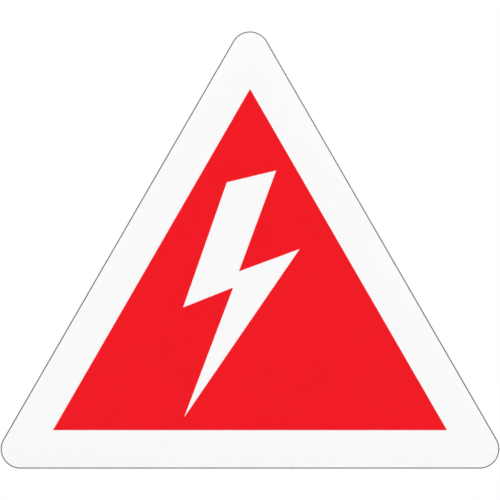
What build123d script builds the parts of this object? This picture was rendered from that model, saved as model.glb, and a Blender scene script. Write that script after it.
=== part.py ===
import os
from math import sqrt

from build123d import *

# High voltage warning sign: a triangular aluminium plate with a white face, and a
# red film field with a lightning flash cut out of it, so that the white shows.
# Millimetres, +Z up and +X to the reader's right. The face looks along -Y, and the
# origin is the centre of the triangle on the back face.

# Plate: the blank is punched from sheet, with even corners and an eased front edge
plate_width = 304.8  # over the rounded bottom corners
plate_thickness = 1.6
corner_radius = 12.0
front_edge_radius = 0.75
back_edge_break = 0.2

# Red field: cut film with sharp corners, leaving a white border of one width
border_width = 23.6
film_thickness = 0.1

# Flash: the room above its top and below its point sets its height
flash_top_gap = 49.8
flash_point_gap = 7.8

# The flash's corners, anticlockwise from its point, as shares of its height:
# across from the sign's centre line, and up from the point
flash_corner_shares = [
    (-0.267, 0.0),  # point
    (0.201, 0.682),  # right barb
    (-0.045, 0.591),  # right notch
    (0.106, 1.0),  # top right
    (-0.094, 0.952),  # top left
    (-0.271, 0.445),  # left barb
    (-0.068, 0.526),  # left notch
]

# Each sharp corner reaches past its arc by the same share of the radius
corner_reach = (sqrt(3) - 1) * corner_radius
plate_side = plate_width + 2 * corner_reach

# An equilateral triangle's inradius is its sides' distance from its centre
plate_inradius = plate_side / (2 * sqrt(3))
field_inradius = plate_inradius - border_width
field_height = 3 * field_inradius
flash_height = field_height - flash_top_gap - flash_point_gap
flash_point_z = flash_point_gap - field_inradius


def upright_triangle(inradius):
    """Equilateral, standing on its base, with its centre at the sketch's origin."""
    RegularPolygon(inradius, side_count=3, major_radius=False, rotation=90)


os.makedirs("parts", exist_ok=True)

# The plate: its back lies in the plane y = 0
with BuildPart() as plate:
    with BuildSketch(Plane.XZ):
        upright_triangle(plate_inradius)
        fillet(vertices(), corner_radius)
    extrude(amount=plate_thickness)
    front_face, *_, back_face = faces().sort_by(Axis.Y)
    fillet(front_face.edges(), front_edge_radius)
    chamfer(back_face.edges(), back_edge_break)

# The red field: it lies face to face on the front of the plate
with BuildPart() as red_field:
    with BuildSketch(Plane.XZ.offset(plate_thickness)):
        upright_triangle(field_inradius)
        with BuildLine():
            Polyline(
                [
                    (across * flash_height, flash_point_z + up * flash_height)
                    for across, up in flash_corner_shares
                ],
                close=True,
            )
        make_face(mode=Mode.SUBTRACT)
    extrude(amount=film_thickness)

plate.part.label = "plate"
export_step(plate.part, "parts/plate.step")

red_field.part.label = "red_field"
export_step(red_field.part, "parts/red_field.step")
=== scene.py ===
"""High voltage warning sign: a white-coated aluminium plate with a red film field and a white flash.

Metres, +Z up and +X to the reader's right. The face looks along -Y, and the origin is the centre of
the triangle on the back face. Outlines are drawn as (across, up) and stand at a depth in front of
the back face.
"""

import math

import bmesh
import bpy
import numpy as np
from bpy.props import FloatProperty, FloatVectorProperty, PointerProperty
from bpy.types import Operator, Panel, PropertyGroup
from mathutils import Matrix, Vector


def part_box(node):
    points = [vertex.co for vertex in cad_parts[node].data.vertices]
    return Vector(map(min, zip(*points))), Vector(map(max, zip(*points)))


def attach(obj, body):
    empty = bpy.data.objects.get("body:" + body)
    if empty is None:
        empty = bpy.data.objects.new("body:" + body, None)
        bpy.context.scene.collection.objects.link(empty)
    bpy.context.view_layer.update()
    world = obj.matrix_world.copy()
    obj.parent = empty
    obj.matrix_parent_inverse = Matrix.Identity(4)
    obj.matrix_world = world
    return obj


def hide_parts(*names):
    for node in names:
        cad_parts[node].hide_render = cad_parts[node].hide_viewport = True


bl_info = {
    "name": "High voltage warning sign",
    "version": (1, 0, 0),
    "blender": (4, 5, 0),
    "location": "3D View > Sidebar > Sign",
    "description": "Dresses the sign's plate and red field, and sets a white studio round them",
    "category": "Object",
}

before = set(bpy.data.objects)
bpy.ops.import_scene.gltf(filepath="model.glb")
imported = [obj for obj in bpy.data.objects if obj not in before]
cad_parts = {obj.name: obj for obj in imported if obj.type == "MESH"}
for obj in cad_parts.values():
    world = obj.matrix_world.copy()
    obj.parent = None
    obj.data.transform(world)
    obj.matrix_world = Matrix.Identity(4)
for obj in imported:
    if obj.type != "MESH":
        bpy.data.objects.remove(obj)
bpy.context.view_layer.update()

MM = 0.001

# The plate and the field stand on their bases, so their lowest points give their inradii
plate_low, plate_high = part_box("plate")
field_low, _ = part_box("red_field")
PLATE_INRADIUS = -plate_low.z
FIELD_INRADIUS = -field_low.z
PLATE_DEPTH = -plate_low.y
FIELD_DEPTH = -field_low.y

# A sharp apex would lie two inradii up, and a rounded one is lower by its radius
CORNER_RADIUS = 2 * PLATE_INRADIUS - plate_high.z

# The flash's corners, anticlockwise from its point, as shares of its height:
# across from the sign's centre line, and up from the point
FLASH_CORNER_SHARES = np.array(
    [
        (-0.267, 0.0),  # point
        (0.201, 0.682),  # right barb
        (-0.045, 0.591),  # right notch
        (0.106, 1.0),  # top right
        (-0.094, 0.952),  # top left
        (-0.271, 0.445),  # left barb
        (-0.068, 0.526),  # left notch
    ]
)

# A triangle's corners and the normals of the sides that follow them, anticlockwise from bottom right
CORNER_ANGLES = np.radians([-30.0, 90.0, 210.0])
SIDE_ANGLES = np.radians([30.0, 150.0, 270.0])

# Steps of the plate's grids: along each corner and side, inwards over a face, and round an eased edge
CORNER_STEPS = 24
SIDE_STEPS = 16
FACE_STEPS = 8
EDGE_STEPS = 6

# Steps of the film's grid: across it, and along it from each corner to the next
FILM_STEPS = 6

# Edges that turn by more than this stay crisp
CRISP_ANGLE = math.radians(32)

# Points nearer than this are one point
WELD = 0.0005 * MM

# Steps of the floor's grid, outwards and round
FLOOR_RINGS = 24
FLOOR_TURNS = 96

# Kinds of socket in a shader group
NUMBER = "NodeSocketFloat"
TRIPLE = "NodeSocketVector"
COLOUR = "NodeSocketColor"

WHITE = (1.0, 1.0, 1.0, 1.0)


class SignSizes(PropertyGroup):
    """Sizes of the sign's finish that its frame doesn't give."""

    edge_radius: FloatProperty(
        name="Eased edge", description="Radius of the filed edge round the front",
        default=0.75 * MM, min=0.1 * MM, max=1.2 * MM, unit="LENGTH")
    back_break: FloatProperty(
        name="Back break", description="Width of the broken edge round the back",
        default=0.2 * MM, min=0.02 * MM, max=0.6 * MM, unit="LENGTH")
    coat_thickness: FloatProperty(
        name="Coat", description="Thickness of the white coat",
        default=0.07 * MM, min=0.02 * MM, max=0.2 * MM, unit="LENGTH")
    torn_height: FloatProperty(
        name="Torn wall", description="How far up the side wall the punch tore the metal",
        default=0.45 * MM, min=0.0, max=1.5 * MM, unit="LENGTH")
    flash_top_gap: FloatProperty(
        name="Above the flash", description="From the flash's top to the field's apex",
        default=49.8 * MM, min=5 * MM, max=120 * MM, unit="LENGTH")
    flash_point_gap: FloatProperty(
        name="Below the flash", description="From the flash's point to the field's base",
        default=7.8 * MM, min=1 * MM, max=60 * MM, unit="LENGTH")
    film_edge: FloatProperty(
        name="Film edge", description="Width of the softened edge of the red film",
        default=0.03 * MM, min=0.0, max=0.09 * MM, unit="LENGTH")


class SignColours(PropertyGroup):
    """Colours of the sign's finishes and of the floor."""

    white: FloatVectorProperty(
        name="White coat", description="Colour of the coated face and border",
        default=(0.93, 0.93, 0.93), min=0.0, max=1.0, subtype="COLOR")
    red: FloatVectorProperty(
        name="Red film", description="Colour of the field",
        default=(0.85, 0.001, 0.008), min=0.0, max=1.0, subtype="COLOR")
    # Bare metal of the edge, darkened to paint the shade that lies along the plate's edge
    edge_metal_painted_shade: FloatVectorProperty(
        name="Filed edge", description="Colour of the bare metal round the edge, darkened as painted shade",
        default=(0.105, 0.105, 0.108), min=0.0, max=1.0, subtype="COLOR")
    back_metal: FloatVectorProperty(
        name="Bare back", description="Colour of the bare metal on the back",
        default=(0.66, 0.665, 0.67), min=0.0, max=1.0, subtype="COLOR")
    floor: FloatVectorProperty(
        name="Floor", description="Colour of the studio floor",
        default=(0.88, 0.88, 0.88), min=0.0, max=1.0, subtype="COLOR")


class SignStage(PropertyGroup):
    """Camera, lamps and floor of the studio."""

    lens: FloatProperty(
        name="Lens", description="Focal length of the camera",
        default=100.0, min=20.0, unit="CAMERA")
    sensor: FloatProperty(
        name="Sensor", description="Width of the camera's sensor",
        default=36.0, min=10.0, unit="CAMERA")
    span: FloatProperty(
        name="Span", description="Share of the picture's width that the sign fills",
        default=499 / 500, min=0.1, max=1.0, subtype="FACTOR")
    front_power: FloatProperty(
        name="Front lamps", description="Power of each of the two lamps in front of the sign",
        default=38.4, min=0.0, unit="POWER")
    front_size: FloatProperty(
        name="Front size", description="Width and height of each front lamp",
        default=1.7, min=0.1, unit="LENGTH")
    front_distance: FloatProperty(
        name="Front distance", description="From the sign to each front lamp",
        default=3.6, min=0.5, unit="LENGTH")
    front_angle: FloatProperty(
        name="Front angle", description="How far each front lamp stands to the side of the camera",
        default=math.radians(42), min=0.0, max=math.pi / 2, unit="ROTATION")
    front_height: FloatProperty(
        name="Front height", description="How steeply each front lamp looks down at the sign",
        default=math.radians(45), min=0.0, max=math.pi / 2, unit="ROTATION")
    back_power: FloatProperty(
        name="Back lamp", description="Power of the lamp behind the sign",
        default=1.4, min=0.0, unit="POWER")
    back_size: FloatProperty(
        name="Back size", description="Width and height of the back lamp",
        default=0.35, min=0.1, unit="LENGTH")
    back_distance: FloatProperty(
        name="Back distance", description="From the sign to the back lamp",
        default=0.8, min=0.3, unit="LENGTH")
    back_angle: FloatProperty(
        name="Back angle", description="How far round the sign the back lamp stands from the camera",
        default=math.radians(150), min=math.pi / 2, max=3 * math.pi / 2, unit="ROTATION")
    back_height: FloatProperty(
        name="Back height", description="How steeply the back lamp looks down at the sign",
        default=math.radians(26), min=0.0, max=math.pi / 2, unit="ROTATION")
    ambient: FloatProperty(
        name="Room light", description="Strength of the light from all round",
        default=0.6, min=0.0, max=2.0)
    floor_drop: FloatProperty(
        name="Floor drop", description="From the sign's base down to the floor",
        default=0.1, min=0.0, unit="LENGTH")
    floor_radius: FloatProperty(
        name="Floor radius", description="Radius of the floor",
        default=1.3, min=0.2, unit="LENGTH")
    floor_haze: FloatProperty(
        name="Floor haze", description="Share of pure white in the floor straight below the sign",
        default=0.4, min=0.0, max=1.0, subtype="FACTOR")
    shadow_reach: FloatProperty(
        name="Shadow reach", description="Where the floor and its shadow have faded to white",
        default=0.5, min=0.1, unit="LENGTH")


def unit(angles):
    """Unit vectors at the given angles, as rows of (across, up)."""
    return np.stack([np.cos(angles), np.sin(angles)], axis=-1)


def stand_up(flat, depth):
    """Points in space from outlines of (across, up) and their depth in front of the back face."""
    across, up = flat[..., 0], flat[..., 1]
    return np.stack([across, np.broadcast_to(-depth, across.shape), up], axis=-1)


def rounded_path(inradius, corner_radius):
    """The outline of a triangle with rounded corners, as a spine and the normals that stand on it.

    Every point of it lies one corner radius from a smaller, sharp triangle, the spine. Along a corner
    the spine stands still and the normal turns by 120 degrees. Along a side the normal stands still
    and the spine walks to the next corner.
    """
    corners = 2 * (inradius - corner_radius) * unit(CORNER_ANGLES)
    sides = np.roll(corners, -1, axis=0) - corners
    turned = np.append(np.linspace(0, 1, CORNER_STEPS, endpoint=False), np.ones(SIDE_STEPS))
    walked = np.append(np.zeros(CORNER_STEPS), np.linspace(0, 1, SIDE_STEPS, endpoint=False))
    third = 2 * np.pi / 3
    normals = unit(SIDE_ANGLES[:, None] - third + third * turned)
    spine = corners[:, None] + sides[:, None] * walked[:, None]
    return spine.reshape(-1, 2), normals.reshape(-1, 2)


def plate_rings(stations):
    """Rings of the rounded triangle, one for each station of (share, inset, depth).

    A ring is the plate's outline, set in by the inset and then shrunk to its share about the centre.
    """
    share, inset, depth = (column[:, None] for column in np.array(stations).T)
    spine, normals = rounded_path(PLATE_INRADIUS, CORNER_RADIUS)
    flat = share[..., None] * (spine + (CORNER_RADIUS - inset[..., None]) * normals)
    return stand_up(flat, depth)


def face_stations(inset, depth, outwards):
    """Stations over a flat face between the centre and the ring at the inset."""
    shares = np.linspace(0, 1, FACE_STEPS + 1)
    return [(share, inset, depth) for share in (shares if outwards else shares[::-1])]


def quarter_turn(start, end):
    """Stations round a quarter of an ellipse, from a side wall to the face above it.

    The angle runs from 0 to 90 degrees: the inset grows as one minus its cosine, and the depth as
    its sine.
    """
    angles = np.linspace(0, np.pi / 2, EDGE_STEPS + 1)
    insets = start[0] + (end[0] - start[0]) * (1 - np.cos(angles))
    depths = start[1] + (end[1] - start[1]) * np.sin(angles)
    return [(1.0, inset, depth) for inset, depth in zip(insets, depths)]


def skin(name, rings, wrapped=False, finishes=0):
    """A mesh over a grid of points: rings in rows, each joined to the next by quads.

    Wrapped rings close on each other as a tube does. Otherwise a first or last ring whose points
    all meet closes its end, because the welding turns the quads round it into triangles. Finishes
    gives each row of quads the number of its material.
    """
    rows, columns = rings.shape[:2]
    index = np.arange(rows * columns).reshape(rows, columns)
    if wrapped:
        index = np.vstack([index, index[:1]])
    here, there = index[:-1], index[1:]
    quads = np.stack([here, np.roll(here, -1, 1), np.roll(there, -1, 1), there], axis=-1)
    mesh = bpy.data.meshes.new(name)
    mesh.from_pydata(rings.reshape(-1, 3), [], quads.reshape(-1, 4))
    materials = np.broadcast_to(np.reshape(finishes, (-1, 1)), quads.shape[:2])
    mesh.polygons.foreach_set("material_index", materials.astype(np.int32).ravel())
    clean = bmesh.new()
    clean.from_mesh(mesh)
    bmesh.ops.remove_doubles(clean, verts=clean.verts, dist=WELD)
    bmesh.ops.recalc_face_normals(clean, faces=clean.faces)
    clean.to_mesh(mesh)
    clean.free()
    mesh.polygons.foreach_set("use_smooth", np.ones(len(mesh.polygons), bool))
    mesh.set_sharp_from_angle(angle=CRISP_ANGLE)
    piece = bpy.data.objects.new(name, mesh)
    bpy.context.scene.collection.objects.link(piece)
    return piece


def flash_corners(sizes):
    """The flash's corners: its height is the field's, less the gaps above and below it."""
    height = 3 * FIELD_INRADIUS - sizes.flash_top_gap - sizes.flash_point_gap
    return FLASH_CORNER_SHARES * height + (0, sizes.flash_point_gap - FIELD_INRADIUS)


def places_on_field(flash):
    """Where on the field's outline each corner of the flash looks out, counted in sides.

    A corner looks out along the sum of its two edges' outward normals. The nearest side that the
    look meets gives the whole number, and the share of that side walked so far gives the rest.
    """
    edges = np.roll(flash, -1, axis=0) - flash
    outward = np.stack([edges[:, 1], -edges[:, 0]], axis=-1)
    outward /= np.linalg.norm(outward, axis=1, keepdims=True)
    look = outward + np.roll(outward, 1, axis=0)
    normals = unit(SIDE_ANGLES)
    ahead = look @ normals.T
    reach = (FIELD_INRADIUS - flash @ normals.T) / np.where(ahead > 0, ahead, np.nan)
    side = np.nanargmin(reach, axis=1)
    met = flash + look * np.nanmin(reach, axis=1)[:, None]
    corners = 2 * FIELD_INRADIUS * unit(CORNER_ANGLES)
    along = np.roll(corners, -1, axis=0) - corners
    walked = np.sum((met - corners[side]) * along[side], axis=1) / np.sum(along[side] ** 2, axis=1)
    return side + walked


def film_rings(sizes):
    """The red film as a ring that runs from the flash's outline out to the field's, and back beneath.

    Round the ring, the place on the field's outline counts its sides, and the flash's outline is
    carried along with it: its corners stand where they look out. Between the two outlines the
    points lie evenly on straight lines.
    """
    flash = flash_corners(sizes)
    places = places_on_field(flash)
    knots = np.unique(np.concatenate([places % 3, [0, 1, 2, 3]]))
    steps = np.linspace(0, 1, FILM_STEPS, endpoint=False)
    round_it = (knots[:-1, None] + np.diff(knots)[:, None] * steps).ravel()
    corners = 2 * FIELD_INRADIUS * unit(CORNER_ANGLES)
    inner, outer = (
        np.stack([np.interp(round_it, at, outline[:, axis], period=3) for axis in (0, 1)], axis=-1)
        for at, outline in ((places, flash), ([0, 1, 2], corners))
    )
    out = np.linspace(0, 1, FILM_STEPS + 1)
    share = np.append(out, out[::-1])[:, None, None]
    depth = np.append(np.full(len(out), FIELD_DEPTH), np.full(len(out), PLATE_DEPTH))[:, None]
    return stand_up(inner + share * (outer - inner), depth)


def feed(node, inputs):
    """Gives a node's inputs their values, or links them to other sockets."""
    for key, value in inputs.items():
        if isinstance(value, bpy.types.NodeSocket):
            node.id_data.links.new(value, node.inputs[key])
        else:
            node.inputs[key].default_value = value


def add(tree, kind, inputs, **settings):
    """Adds a node, applies its settings, feeds its inputs, and returns its outputs."""
    node = tree.nodes.new(kind)
    for name, value in settings.items():
        setattr(node, name, value)
    feed(node, inputs)
    return node.outputs


def add_math(tree, operation, *values):
    """A Math node's result, from its values in order."""
    return add(tree, "ShaderNodeMath", dict(enumerate(values)), operation=operation)[0]


def add_mix(tree, share, first, second):
    """The first value where the share is 0, and the second where it is 1."""
    return add(tree, "ShaderNodeMix", {0: share, 2: first, 3: second})[0]


def add_place(tree):
    """Where on its piece a point is, in metres."""
    return add(tree, "ShaderNodeTexCoord", {})["Object"]


def add_noise(tree, place, scale, detail=2.0, stretch=(1.0, 1.0, 1.0)):
    """Noise from 0 to 1 over a place, with its grain stretched along the axes."""
    stretched = add(tree, "ShaderNodeMapping", {"Vector": place, "Scale": stretch})[0]
    inputs = {"Vector": stretched, "Scale": scale, "Detail": detail, "Roughness": 0.5}
    return add(tree, "ShaderNodeTexNoise", inputs)["Fac"]


def scaled(tree, colour, level):
    """A colour made brighter or darker by the level."""
    return add(tree, "ShaderNodeVectorMath", {0: colour, "Scale": level}, operation="SCALE")[0]


def bump(tree, height, distance, strength=1.0):
    """The normal of a surface that rises by the distance as its height goes from 0 to 1."""
    inputs = {"Height": height, "Distance": distance, "Strength": strength}
    return add(tree, "ShaderNodeBump", inputs)["Normal"]


def add_sockets(group, inputs, outputs):
    """Gives a shader group its sockets, as (name, kind, default) and (name, kind).

    Returns what comes in through its inputs.
    """
    for name, kind, default in inputs:
        group.interface.new_socket(name, in_out="INPUT", socket_type=kind).default_value = default
    for name, kind in outputs:
        group.interface.new_socket(name, in_out="OUTPUT", socket_type=kind)
    return add(group, "NodeGroupInput", {})


def add_group(tree, build, inputs):
    """Places a shared shader group with values of its own, and builds it the first time."""
    name = build.__name__
    if name not in bpy.data.node_groups:
        build(bpy.data.node_groups.new(name, "ShaderNodeTree"))
    return add(tree, "ShaderNodeGroup", inputs, node_tree=bpy.data.node_groups[name])


def mottle(group):
    """Slow and fine unevenness of a colour, and a roughness that strays with it."""
    given = add_sockets(
        group,
        [
            ("Colour", COLOUR, WHITE),
            ("Amount", NUMBER, 0.02),
            ("Patch Scale", NUMBER, 25.0),
            ("Grain Scale", NUMBER, 900.0),
            ("Grain Share", NUMBER, 0.35),
            ("Roughness", NUMBER, 0.4),
            ("Roughness Spread", NUMBER, 0.06),
        ],
        [("Colour", COLOUR), ("Roughness", NUMBER)],
    )
    place = add_place(group)
    patches = add_noise(group, place, given["Patch Scale"], detail=3.0)
    grain = add_noise(group, place, given["Grain Scale"], detail=1.0)
    both = add_mix(group, given["Grain Share"], patches, grain)
    stray = add_math(group, "MULTIPLY_ADD", both, 2.0, -1.0)
    level = add_math(group, "MULTIPLY_ADD", stray, given["Amount"], 1.0)
    rough = add_math(group, "MULTIPLY_ADD", stray, given["Roughness Spread"], given["Roughness"])
    add(group, "NodeGroupOutput", {"Colour": scaled(group, given["Colour"], level), "Roughness": rough})


def orange_peel(group):
    """Height of a sprayed or rolled surface: soft dimples, with a finer ripple on them."""
    given = add_sockets(
        group,
        [
            ("Dimple Scale", NUMBER, 450.0),
            ("Ripple Fineness", NUMBER, 3.0),
            ("Ripple Share", NUMBER, 0.25),
        ],
        [("Height", NUMBER)],
    )
    place = add_place(group)
    dimples = add_noise(group, place, given["Dimple Scale"], detail=0.0)
    ripple_scale = add_math(group, "MULTIPLY", given["Dimple Scale"], given["Ripple Fineness"])
    ripple = add_noise(group, place, ripple_scale, detail=1.0)
    height = add_math(group, "MULTIPLY_ADD", ripple, given["Ripple Share"], dimples)
    add(group, "NodeGroupOutput", {"Height": height})


def drawn_lines(group):
    """Fine lines left in metal by rolling or punching, and broader bands: noise drawn out along an axis."""
    given = add_sockets(
        group,
        [
            ("Stretch", TRIPLE, (1.0, 1.0, 1.0)),
            ("Line Scale", NUMBER, 900.0),
            ("Band Coarseness", NUMBER, 0.12),
        ],
        [("Lines", NUMBER), ("Bands", NUMBER)],
    )
    place = add_place(group)
    lines = add_noise(group, place, given["Line Scale"], detail=4.0, stretch=given["Stretch"])
    band_scale = add_math(group, "MULTIPLY", given["Line Scale"], given["Band Coarseness"])
    bands = add_noise(group, place, band_scale, detail=2.0, stretch=given["Stretch"])
    add(group, "NodeGroupOutput", {"Lines": lines, "Bands": bands})


def new_material(name):
    """A node material, with its tree and its shader."""
    material = bpy.data.materials.new(name)
    material.use_nodes = True
    return material, material.node_tree, material.node_tree.nodes["Principled BSDF"]


def white_coat_material(colours):
    """Sprayed white coat: satin, with the soft dimples of a baked coat."""
    material, tree, shader = new_material("white_coat")
    tone = add_group(tree, mottle, {
        "Colour": (*colours.white, 1.0), "Amount": 0.012, "Patch Scale": 22.0, "Grain Scale": 700.0,
        "Roughness": 0.36, "Roughness Spread": 0.08})
    peel = add_group(tree, orange_peel, {"Dimple Scale": 420.0, "Ripple Share": 0.2})
    feed(shader, {
        "Base Color": tone["Colour"], "Roughness": tone["Roughness"], "Specular IOR Level": 0.3,
        "Normal": bump(tree, peel["Height"], 0.06 * MM)})
    return material


def red_film_material(colours):
    """Calendered red film: satin, with a fine grain over the coat's dimples."""
    material, tree, shader = new_material("red_film")
    tone = add_group(tree, mottle, {
        "Colour": (*colours.red, 1.0), "Amount": 0.05, "Patch Scale": 30.0, "Grain Scale": 1500.0,
        "Roughness": 0.4, "Roughness Spread": 0.1})
    peel = add_group(tree, orange_peel, {"Dimple Scale": 700.0, "Ripple Share": 0.5})
    feed(shader, {
        "Base Color": tone["Colour"], "Roughness": tone["Roughness"], "Specular IOR Level": 0.18,
        "Normal": bump(tree, peel["Height"], 0.025 * MM)})
    return material


def rolled_back_material(colours):
    """Bare rolled sheet: fine lines and faint bands along the rolling, rougher where they are dark."""
    material, tree, shader = new_material("rolled_back")
    contrast = 0.14
    drawn = add_group(tree, drawn_lines, {"Stretch": (0.03, 1.0, 1.0), "Line Scale": 3500.0})
    tone = add_group(tree, mottle, {
        "Colour": (*colours.back_metal, 1.0), "Amount": 0.04, "Patch Scale": 14.0, "Grain Scale": 1200.0,
        "Roughness": 0.42, "Roughness Spread": 0.06})
    both = add_math(tree, "ADD", drawn["Lines"], drawn["Bands"])
    stray = add_math(tree, "MULTIPLY_ADD", both, contrast, -contrast)
    level = add_math(tree, "ADD", stray, 1.0)
    feed(shader, {
        "Base Color": scaled(tree, tone["Colour"], level), "Metallic": 1.0,
        "Roughness": add_math(tree, "SUBTRACT", tone["Roughness"], stray),
        "Normal": bump(tree, drawn["Lines"], 0.004 * MM, strength=0.6)})
    return material


def punched_edge_painted_shade_material(colours, torn_height):
    """Punched edge: a torn, dull grain by the back, and in front of it lines across a smoother wall. The
    bare metal's colour is darkened all round, as painted shade along the edge.
    """
    material, tree, shader = new_material("punched_edge_painted_shade")
    tear_wander = 0.3 * MM
    tear_wander_scale = 700.0
    tear_fade = 0.1 * MM
    tear_shade = 0.3
    tear_roughness = 0.22
    tear_grain_scale = 5000.0
    wall_roughness = 0.42
    contrast = 1.2
    place = add_place(tree)
    back = add(tree, "ShaderNodeSeparateXYZ", {0: place})["Y"]
    # How far a point lies in front of the back face, less a wander that leaves the tear uneven
    wander = add_math(tree, "MULTIPLY", add_noise(tree, place, tear_wander_scale), -tear_wander)
    depth = add_math(tree, "SUBTRACT", wander, back)
    fade_start = torn_height - tear_wander / 2
    torn = add(tree, "ShaderNodeMapRange", {
        "Value": depth, "From Min": fade_start, "From Max": fade_start + tear_fade,
        "To Min": 1.0, "To Max": 0.0})["Result"]
    drawn = add_group(tree, drawn_lines, {"Stretch": (1.0, 0.06, 1.0), "Line Scale": 2500.0})
    grain = add_noise(tree, place, tear_grain_scale, detail=3.0)
    height = add_mix(tree, torn, drawn["Lines"], grain)
    level = add_math(tree, "MULTIPLY_ADD", height, contrast, 1.0 - contrast / 2)
    level = add_math(tree, "MULTIPLY_ADD", torn, -tear_shade, level)
    # Base colour: the edge's bare metal, darkened as painted shade along the edge
    feed(shader, {
        "Base Color": scaled(tree, colours.edge_metal_painted_shade, level), "Metallic": 1.0,
        "Roughness": add_math(tree, "MULTIPLY_ADD", torn, tear_roughness, wall_roughness),
        "Normal": bump(tree, height, 0.02 * MM, strength=0.8)})
    return material


class SIGN_OT_blank(Operator):
    """Make the bare aluminium blank, with its filed front edge and broken back edge."""

    bl_idname = "sign.blank"
    bl_label = "Aluminium blank"

    def execute(self, context):
        sizes, colours = context.scene.sign_sizes, context.scene.sign_colours
        front = PLATE_DEPTH - sizes.coat_thickness
        back = face_stations(sizes.back_break, 0.0, True)
        stations = back + [(1.0, 0.0, sizes.back_break)]
        stations += quarter_turn((0.0, PLATE_DEPTH - sizes.edge_radius), (sizes.edge_radius, front))
        stations += face_stations(sizes.edge_radius, front, False)[1:]
        # Rows of quads past the flat back have the punched edge's finish, with its painted shade
        past_back = np.arange(len(stations) - 1) >= len(back) - 1
        piece = skin("blank", plate_rings(stations), finishes=past_back)
        piece.data.materials.append(rolled_back_material(colours))
        piece.data.materials.append(punched_edge_painted_shade_material(colours, sizes.torn_height))
        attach(piece, "root")
        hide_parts("plate")
        return {"FINISHED"}


class SIGN_OT_coat(Operator):
    """Make the white coat over the front of the blank, up to the filed edge."""

    bl_idname = "sign.coat"
    bl_label = "White coat"

    def execute(self, context):
        sizes, colours = context.scene.sign_sizes, context.scene.sign_colours
        under = PLATE_DEPTH - sizes.coat_thickness
        top_inset = sizes.edge_radius + sizes.coat_thickness
        stations = face_stations(sizes.edge_radius, under, True)
        stations += quarter_turn((sizes.edge_radius, under), (top_inset, PLATE_DEPTH))[1:]
        stations += face_stations(top_inset, PLATE_DEPTH, False)[1:]
        piece = skin("white_coat", plate_rings(stations))
        piece.data.materials.append(white_coat_material(colours))
        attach(piece, "root")
        return {"FINISHED"}


class SIGN_OT_red_field(Operator):
    """Make the red film, with the flash left open in it."""

    bl_idname = "sign.red_field"
    bl_label = "Red field"

    def execute(self, context):
        sizes, colours = context.scene.sign_sizes, context.scene.sign_colours
        piece = skin("red_film", film_rings(sizes), wrapped=True)
        piece.data.materials.append(red_film_material(colours))
        soften = piece.modifiers.new("softened_edge", "BEVEL")
        soften.width = sizes.film_edge
        soften.segments = 2
        soften.angle_limit = CRISP_ANGLE
        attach(piece, "root")
        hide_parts("red_field")
        return {"FINISHED"}


def seen_rays(tree):
    """1 for rays that show a background: to the camera, off gloss and through glass."""
    path = add(tree, "ShaderNodeLightPath", {})
    seen = add_math(tree, "MAXIMUM", path["Is Camera Ray"], path["Is Glossy Ray"])
    return add_math(tree, "MAXIMUM", seen, path["Is Transmission Ray"])


def floor_material(colours, haze, shadow_reach):
    """Pale floor that keeps the shadow near the sign and fades to the white background.

    It is clear from below, so that the sign shows from there too.
    """
    material, tree, shader = new_material("studio_floor")
    grain_scale = 60.0
    grain_contrast = 0.02
    place = add_place(tree)
    grain = add_noise(tree, place, grain_scale, detail=4.0)
    level = add_math(tree, "MULTIPLY_ADD", grain, grain_contrast, 1.0 - grain_contrast / 2)
    feed(shader, {
        "Base Color": scaled(tree, colours.floor, level), "Roughness": 0.8, "Specular IOR Level": 0.1})
    flat = add(tree, "ShaderNodeVectorMath", {0: place, 1: (1.0, 1.0, 0.0)}, operation="MULTIPLY")[0]
    away = add(tree, "ShaderNodeVectorMath", {0: flat}, operation="LENGTH")["Value"]
    fade = add(tree, "ShaderNodeMapRange", {
        "Value": away, "From Min": 0.0, "From Max": shadow_reach, "To Min": haze, "To Max": 1.0},
        interpolation_type="SMOOTHSTEP")["Result"]
    share = add_math(tree, "MULTIPLY", fade, seen_rays(tree))
    white = add(tree, "ShaderNodeEmission", {"Color": WHITE, "Strength": 1.0})[0]
    above = add(tree, "ShaderNodeMixShader", {0: share, 1: shader.outputs[0], 2: white})[0]
    from_below = add(tree, "ShaderNodeNewGeometry", {})["Backfacing"]
    clear = add(tree, "ShaderNodeBsdfTransparent", {})[0]
    either = add(tree, "ShaderNodeMixShader", {0: from_below, 1: above, 2: clear})[0]
    feed(tree.nodes["Material Output"], {"Surface": either})
    return material


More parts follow.
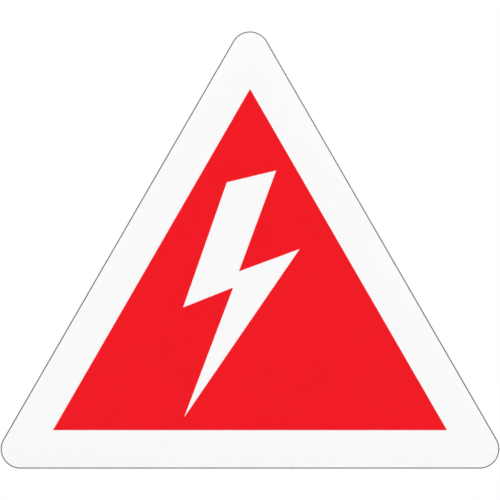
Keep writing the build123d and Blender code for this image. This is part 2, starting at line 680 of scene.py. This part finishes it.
class SIGN_OT_stage(Operator):
    """Set the floor, the white world, the soft lamps and the camera."""

    bl_idname = "sign.stage"
    bl_label = "Studio"

    def execute(self, context):
        stage, colours = context.scene.sign_stage, context.scene.sign_colours
        middle = Vector((0.0, 0.0, (plate_low.z + plate_high.z) / 2))
        self.lay_floor(stage, colours)
        self.light_world(context.scene, stage)
        for name, side in (("left_lamp", -1), ("right_lamp", 1)):
            lamp = self.hang_lamp(
                context.scene, name, middle,
                stage.front_distance, side * stage.front_angle, stage.front_height)
            lamp.size = stage.front_size
            lamp.energy = stage.front_power
        lamp = self.hang_lamp(
            context.scene, "back_lamp", middle,
            stage.back_distance, stage.back_angle, stage.back_height)
        lamp.size = stage.back_size
        lamp.energy = stage.back_power
        self.place_camera(context.scene, stage, middle)
        context.scene.view_settings.view_transform = "Standard"
        return {"FINISHED"}

    def lay_floor(self, stage, colours):
        """A disc that faces up: rings of points at even steps of radius and of angle."""
        radii = np.linspace(0, stage.floor_radius, FLOOR_RINGS)[:, None]
        turns = np.linspace(0, 2 * np.pi, FLOOR_TURNS, endpoint=False)
        level = plate_low.z - stage.floor_drop
        across, back = radii * np.cos(turns), radii * np.sin(turns)
        floor = skin("studio_floor", np.stack([across, back, np.full_like(across, level)], axis=-1))
        if floor.data.polygons[0].normal.z < 0:
            floor.data.flip_normals()
        floor.data.materials.append(floor_material(colours, stage.floor_haze, stage.shadow_reach))

    def light_world(self, scene, stage):
        """White where it is seen, and a weaker light where it only lights."""
        world = bpy.data.worlds.new("studio")
        world.use_nodes = True
        tree = world.node_tree
        tree.nodes.clear()
        light = add(tree, "ShaderNodeBackground", {"Color": WHITE, "Strength": stage.ambient})[0]
        white = add(tree, "ShaderNodeBackground", {"Color": WHITE, "Strength": 1.0})[0]
        mix = add(tree, "ShaderNodeMixShader", {0: seen_rays(tree), 1: light, 2: white})[0]
        add(tree, "ShaderNodeOutputWorld", {"Surface": mix})
        scene.world = world

    def hang_lamp(self, scene, name, middle, distance, angle, height):
        """A square soft lamp turned to the sign: its angle is counted round it from the camera."""
        lamp = bpy.data.lights.new(name, "AREA")
        lamp.shape = "SQUARE"
        holder = bpy.data.objects.new(name, lamp)
        flat = math.cos(height)
        away = Vector((flat * math.sin(angle), -flat * math.cos(angle), math.sin(height)))
        holder.location = middle + distance * away
        holder.rotation_euler = away.to_track_quat("Z", "Y").to_euler()
        holder.visible_camera = False
        scene.collection.objects.link(holder)
        return lamp

    def place_camera(self, scene, stage, middle):
        """Straight in front, as far off as the sign's width and the lens ask."""
        camera = bpy.data.cameras.new("camera")
        camera.lens = stage.lens
        camera.sensor_width = stage.sensor
        seen_width = (plate_high.x - plate_low.x) / stage.span
        distance = PLATE_DEPTH + seen_width * stage.lens / stage.sensor
        holder = bpy.data.objects.new("camera", camera)
        holder.location = middle - Vector((0.0, distance, 0.0))
        holder.rotation_euler = (math.pi / 2, 0.0, 0.0)
        scene.collection.objects.link(holder)
        scene.camera = holder


class SIGN_PT_sidebar(Panel):
    """Lists the sizes, colours and studio settings, and a button for each piece and for the studio."""

    bl_idname = "SIGN_PT_sidebar"
    bl_label = "High voltage warning sign"
    bl_space_type = "VIEW_3D"
    bl_region_type = "UI"
    bl_category = "Sign"

    def draw(self, context):
        for group in (context.scene.sign_sizes, context.scene.sign_colours, context.scene.sign_stage):
            box = self.layout.box()
            for name in group.__annotations__:
                box.prop(group, name)
        for operator in OPERATORS:
            self.layout.operator(operator.bl_idname)


OPERATORS = (SIGN_OT_stage, SIGN_OT_blank, SIGN_OT_coat, SIGN_OT_red_field)
GROUPS = {"sign_sizes": SignSizes, "sign_colours": SignColours, "sign_stage": SignStage}


def register():
    for name, group in GROUPS.items():
        bpy.utils.register_class(group)
        setattr(bpy.types.Scene, name, PointerProperty(type=group))
    for operator in OPERATORS:
        bpy.utils.register_class(operator)
    bpy.utils.register_class(SIGN_PT_sidebar)


def unregister():
    bpy.utils.unregister_class(SIGN_PT_sidebar)
    for operator in reversed(OPERATORS):
        bpy.utils.unregister_class(operator)
    for name, group in reversed(GROUPS.items()):
        delattr(bpy.types.Scene, name)
        bpy.utils.unregister_class(group)


def main():
    register()
    bpy.ops.sign.stage()
    bpy.ops.sign.blank()
    bpy.ops.sign.coat()
    bpy.ops.sign.red_field()


if __name__ == "__main__":
    main()
